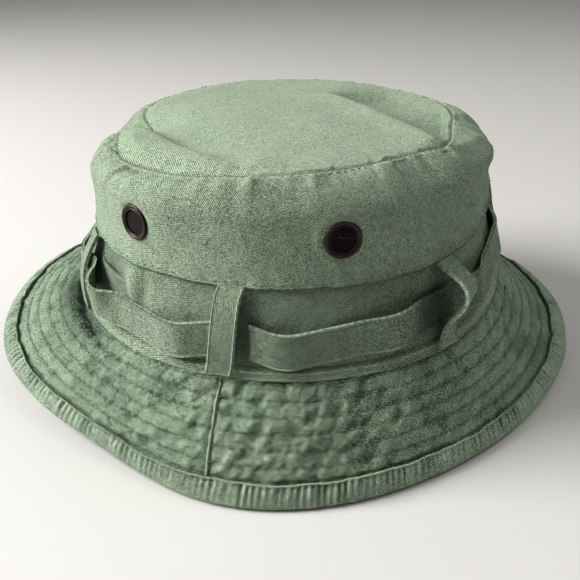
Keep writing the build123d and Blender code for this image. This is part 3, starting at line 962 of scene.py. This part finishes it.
def foliage_line(theta):
    """Middle of the foliage band, its outward and its up direction, at angles round the hat."""
    z = (FOLIAGE_LOW + FOLIAGE_HIGH) / 2 + 0.5 * around(theta, 0 * theta, 60, 10, 121, 2)
    for place, rise, width in STRAP_RISES:
        z = z + rise * angle_hump(theta, place, width)
    gap = slack(theta)
    r = band_r(z) + 1.1 + gap + 0.3 * around(theta, 0 * theta, 12, 10, 123, 2) * ease(gap, 0, 2)
    points = polar(r, theta, z)
    lean = 0.05 + 0.018 * gap + 0.07 * angle_hump(theta, -125, 12)
    tilt = 1.9 * angle_hump(theta, -123, 11) * ease(gap, 1.5, 5) - 1.0
    a = rad(theta)
    radial = np.stack([np.cos(a), np.sin(a), 0 * a], -1)
    up = radial * (lean * tilt)[..., None] + np.array([0, 0, 1.0])
    up /= np.linalg.norm(up, axis=-1, keepdims=True)
    along = np.gradient(points, axis=0)
    out = np.cross(along, up)
    out /= np.linalg.norm(out, axis=-1, keepdims=True)
    return points, out, up


def foliage_band():
    theta = np.linspace(-83.2, 360 - 87.0, 1300)
    points, out, up = foliage_line(theta)
    bays = (theta - FIRST_LOOP_ANGLE) / BAY_ANGLE
    near_tack = hump((bays - np.round(bays)) * BAY_ANGLE, 0, 0.7)
    behind_loop = hump((bays / 2 - np.round(bays / 2)) * 2 * BAY_ANGLE, 0, 6)
    # Darker at the tacks, and painted shadow where the strap runs behind the loops, under the slack loop and
    # on the crown's shaded right
    painted_shade_along = 0.35 * near_tack + 0.5 * behind_loop
    painted_shade_along = painted_shade_along + 1.0 * angle_hump(theta, -41.5, 4.5) + 0.55 * angle_hump(theta, -28, 22)
    width = FOLIAGE_HIGH - FOLIAGE_LOW - 1.8
    piece = strap("foliage_strap", points, out, up, width, 1.25, 0.12 * near_tack, painted_shade_along)
    root(piece, "strap_twill", "foliage_band")


# Upright loops, as how far they stand off the band at falling heights
LOOP_SHAPE = (
    (0.0, 79.6), (0.6, 78.4), (1.6, 76.0), (2.7, 72.0), (3.2, 66.0), (3.2, 59.5), (3.0, 54.0), (2.2, 50.0),
    (1.6, 47.2), (1.5, 45.6),
)
SLACK_SHAPE = (
    (0.2, 79.8), (1.6, 78.4), (4.4, 77.2), (8.6, 76.2), (12.4, 74.6), (14.0, 71.6), (12.8, 67.6), (9.8, 64.0),
    (6.4, 60.6), (3.6, 57.2), (2.2, 53.4), (1.7, 49.6), (2.4, 47.4), (2.0, 45.6),
)
# Degrees by which a loop stands further round than its place, at its top and at its foot
LOOP_LEAN = {"left": (1.3, -1.9), "front_left": (2.6, 1.4)}


def smooth_line(points, count):
    """A smooth line through a few points."""
    points = np.asarray(points, float)
    t = np.linspace(0, 1, len(points))
    fine = np.linspace(0, 1, count)
    line = np.stack([np.interp(fine, t, column) for column in points.T], -1)
    for _ in range(int(count * 0.9)):
        line[1:-1] = 0.25 * line[:-2] + 0.5 * line[1:-1] + 0.25 * line[2:]
    return line


def face_out(width_way, along, radial):
    """Unit normals of a strap, on the side away from the hat."""
    out = np.cross(width_way, along)
    out /= np.linalg.norm(out, axis=-1, keepdims=True)
    return -out if np.mean(np.sum(out * radial, -1)) < 0 else out


def upright_loops():
    for place, label in enumerate(LOOPS):
        angle = FIRST_LOOP_ANGLE + 2 * BAY_ANGLE * place
        shape = SLACK_SHAPE if label == "front_left" else LOOP_SHAPE
        line = smooth_line(shape, 110)
        top, foot = LOOP_LEAN.get(label, (0.6, -0.5))
        theta = angle + np.linspace(top, foot, len(line))
        r = band_r(line[:, 1]) + 1.0 + line[:, 0] * (0.5 if label == "front" else 1.0)
        points = polar(r, theta, line[:, 1])
        radial = polar(np.ones(len(line)), theta, np.zeros(len(line)))
        width_way = np.stack([-radial[:, 1], radial[:, 0], radial[:, 2]], -1)
        along = np.gradient(points, axis=0)
        twist = 0.05 * np.sin(np.linspace(0, 5, len(line)) + place)
        if label == "front_left":
            twist = twist - 0.32 * np.sin(np.linspace(0, math.pi, len(line)))
        out = face_out(width_way, along, radial)
        width_way = width_way * np.cos(twist)[:, None] + out * np.sin(twist)[:, None]
        out = face_out(width_way, along, radial)
        worn_foot = 0.35 * np.exp(-np.arange(len(line))[::-1] / 5.0)
        name, even = f"loop_{label}", 0 * worn_foot
        piece = strap(name, points, out, width_way, LOOP_WIDTH, 1.35, worn_foot, even, uv_start=30 * place)
        root(piece, "strap_twill", f"upright_loop_{label}")


# ---------------- vents


def vent_axes(angle):
    lean = (WAIST_R - SHOULDER_R) / (SHOULDER_Z - WAIST_Z)
    r = WAIST_R - lean * (VENT_Z - WAIST_Z)
    a = math.radians(angle)
    origin = np.array([r * math.cos(a), r * math.sin(a), VENT_Z])
    z = np.array([math.cos(a), math.sin(a), lean])
    z /= np.linalg.norm(z)
    x = np.array([-math.sin(a), math.cos(a), 0.0])
    y = np.cross(z, x)
    return origin, x, y, z


def lathe(name, outline, axes, material, segments=96, wear_and_painted_light=None):
    """A ring turned from a closed outline of (radius, height) about a vent's axis."""
    origin, x, y, z = axes
    outline = np.asarray(outline, float)
    count = len(outline)
    turn = np.linspace(0, 2 * math.pi, segments, endpoint=False)
    ring = np.cos(turn)[:, None, None] * x + np.sin(turn)[:, None, None] * y
    verts = origin + ring * outline[None, :, 0:1] + z * outline[None, :, 1:2]
    i = np.arange(segments)[:, None]
    j = np.arange(count)[None]
    i1, j1 = (i + 1) % segments, (j + 1) % count
    quads = np.stack([i * count + j, i1 * count + j, i1 * count + j1, i * count + j1], -1).reshape(-1, 4)
    values = np.broadcast_to(np.zeros(count) if wear_and_painted_light is None else wear_and_painted_light, (segments, count)).reshape(-1)
    return raw_mesh(name, verts.reshape(-1, 3), quads, material, attributes={"wear_and_painted_light": values})


def rounded(points, passes=2):
    """A closed outline with its corners cut round."""
    points = np.asarray(points, float)
    for _ in range(passes):
        following = np.roll(points, -1, axis=0)
        cut = [points * 0.75 + following * 0.25, points * 0.25 + following * 0.75]
        points = np.stack(cut, 1).reshape(-1, 2)
    return points


def vents():
    washer_r = VENT_RIM_R - 0.3
    fall = WAIST_R - math.sqrt(WAIST_R**2 - washer_r**2)
    bore = VENT_BARREL_R - 0.4
    rim_outline = rounded([
        (VENT_RIM_R, -0.15), (VENT_RIM_R + 0.05, 0.75), (VENT_RIM_R - 0.4, 1.4), (VENT_RIM_R - 1.05, 1.5),
        (VENT_RIM_R - 1.5, 1.1), (VENT_RIM_R - 1.75, 1.0), (VENT_RIM_R - 1.95, 1.25), (bore + 0.2, 1.3),
        (bore, 0.9), (bore, -1.9), (VENT_BARREL_R, -1.9), (VENT_BARREL_R, -0.35), (VENT_RIM_R - 0.8, -0.3),
    ])
    washer_low = -(PLY + fall)
    washer_outline = rounded([
        (VENT_BARREL_R + 0.02, washer_low), (washer_r, washer_low), (washer_r, washer_low - 0.6),
        (VENT_BARREL_R + 0.02, washer_low - 0.6),
    ])
    reach, pitch, wire = bore + 0.05, 0.66, 0.21
    places = np.arange(-6, 7) * pitch
    spans = np.sqrt(np.maximum(reach**2 - places**2, 0))
    t = np.linspace(-1, 1, 57)
    for label, angle in vent_centres():
        axes = vent_axes(angle)
        origin, x, y, z = axes
        wear_and_painted_light = np.clip((rim_outline[:, 1] - 0.9) / 0.6, 0, 1) * 0.7
        rim = lathe(f"vent_{label}_rim", rim_outline, axes, METAL, wear_and_painted_light=wear_and_painted_light)
        root(rim, "vent_metal", f"vent_rim_{label}")
        washer = lathe(f"vent_{label}_washer", washer_outline, axes, METAL)
        root(washer, "vent_metal", f"vent_washer_{label}")
        paths = []
        for k, (place, span) in enumerate(zip(places, spans)):
            if span < 0.8:
                continue
            run = t * span
            wave = 0.17 * np.cos(run / pitch * math.pi) * (1 if k % 2 else -1)
            paths.append(origin + x * place + y * run[:, None] + z * (0.35 + wave)[:, None])
            paths.append(origin + x * run[:, None] + y * place + z * (0.35 - wave)[:, None])
        screen = tubes(f"vent_{label}_screen", np.array(paths), wire, MESH, tapered=False)
        root(screen, "vent_mesh", f"vent_screen_{label}")


# ---------------- stitching


def stitching():
    def on_side(run):
        return lambda theta: side_surface(theta, run + 0 * theta)

    def on_band(z):
        return lambda theta: band_surface(theta, z + 0 * theta)

    def on_brim(s):
        return lambda theta: brim_surface(theta, s + 0 * theta)

    def under_brim(s):
        def curve(theta):
            relief = brim_relief(theta, s + 0 * theta)
            lift = -(2.1 + 0.9 * np.clip(relief, -0.5, 1)) - relief
            points, n = brim_surface(theta, s + 0 * theta, lift)
            return points, -n
        return curve

    tip_seam = seam(
        "stitch_tip", on_side(SIDE_HEIGHT - 1.5), 2 * math.pi * TIP_R, PALE_THREAD, 2,
        stitch=2.0, gap=0.7, radius=0.17, rise=0.02,
    )
    root(tip_seam, "crown_twill")
    root(seam("stitch_waist", on_side(1.5), 2 * math.pi * WAIST_R, SHADED_THREAD, 3), "crown_twill")
    length = 2 * math.pi * ROOT_R
    root_seam = seam("stitch_root", on_band(ROOT_Z + 1.5), length, PALE_THREAD, 4, rise=0.16, skip=0.05)
    root(root_seam, "crown_twill")
    for row in range(QUILT_ROWS):
        s = QUILT_FIRST + row * QUILT_PITCH
        length = 2 * math.pi * (ROOT_R + 0.7 * s)
        for name, curve, seed in (("stitch_brim", on_brim(s), 10), ("stitch_under", under_brim(s), 30)):
            root(seam(f"{name}_{row}", curve, length, SHADED_THREAD, seed + row, rise=0.1), "brim_twill")


# ---------------- stage


def stage():
    low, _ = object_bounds()
    place = (0, 0, low.z - 0.0002)
    bpy.ops.mesh.primitive_grid_add(x_subdivisions=8, y_subdivisions=8, size=6.0, location=place)
    floor = bpy.context.object
    floor.name = "floor"
    material, tree, shader = new_material("pale_floor")
    shader.inputs["Base Color"].default_value = (0.67, 0.66, 0.65, 1)
    shader.inputs["Roughness"].default_value = 0.6
    floor.data.materials.append(material)
    floor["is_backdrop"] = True

    def lamp(name, place, size, power, colour=(1, 1, 1)):
        data = bpy.data.lights.new(name, "AREA")
        data.shape, data.size, data.energy, data.color = "DISK", size, power, colour
        made = bpy.data.objects.new(name, data)
        made.location = place
        made.rotation_euler = (Vector((0, 0, 0.06)) - Vector(place)).to_track_quat("-Z", "Y").to_euler()
        bpy.context.collection.objects.link(made)

    lamp("window", (-1.08, -0.42, 0.88), 0.8, 27.5, (1.0, 0.99, 0.96))
    lamp("fill", (0.75, 0.25, 1.15), 1.0, 4.0, (1.0, 0.99, 0.97))
    world = bpy.data.worlds.new("room")
    bpy.context.scene.world = world
    world.use_nodes = True
    tree = world.node_tree
    direction = tree.nodes.new("ShaderNodeTexCoord")
    split = tree.nodes.new("ShaderNodeSeparateXYZ")
    tree.links.new(direction.outputs["Generated"], split.inputs[0])
    overhead = times(tree, math_node(tree, "MAXIMUM", split.outputs[2], 0.0), 0.31)
    tree.nodes["Background"].inputs["Color"].default_value = (1.0, 0.99, 0.965, 1)
    tree.links.new(plus(tree, overhead, 0.01), tree.nodes["Background"].inputs["Strength"])
    bpy.context.scene.view_settings.view_transform = "Standard"
    bpy.context.scene.view_settings.look = "Medium High Contrast"


CAMERA_AZIMUTH, CAMERA_ELEVATION, CAMERA_ROLL = 16.0, 27.84, -0.9
CAMERA_DISTANCE, TARGET_Z = 0.350, 0.0320
FOCAL_PIXELS, FRAME_PIXELS = 697.85, 580


def camera():
    data = bpy.data.cameras.new("camera")
    made = bpy.data.objects.new("camera", data)
    bpy.context.collection.objects.link(made)
    a, e = math.radians(CAMERA_AZIMUTH), math.radians(CAMERA_ELEVATION)
    back = Vector((math.sin(a) * math.cos(e), -math.cos(a) * math.cos(e), math.sin(e)))
    made.location = Vector((CROWN_X * MM, CROWN_Y * MM, TARGET_Z)) + back * CAMERA_DISTANCE
    turn = (-back).to_track_quat("-Z", "Y")
    made.rotation_mode = "QUATERNION"
    made.rotation_quaternion = turn @ Euler((0, 0, math.radians(CAMERA_ROLL))).to_quaternion()
    data.sensor_width = 36.0
    data.lens = FOCAL_PIXELS / FRAME_PIXELS * 36.0
    data.shift_x, data.shift_y = -0.0025, -0.0056
    data.clip_start, data.clip_end = 0.01, 20
    bpy.context.scene.camera = made


crown_tip()
crown_sides()
crown_bands()
sweatband()
brim_pieces()
brim_binding()
foliage_band()
upright_loops()
vents()
stitching()
camera()
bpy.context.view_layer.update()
stage()
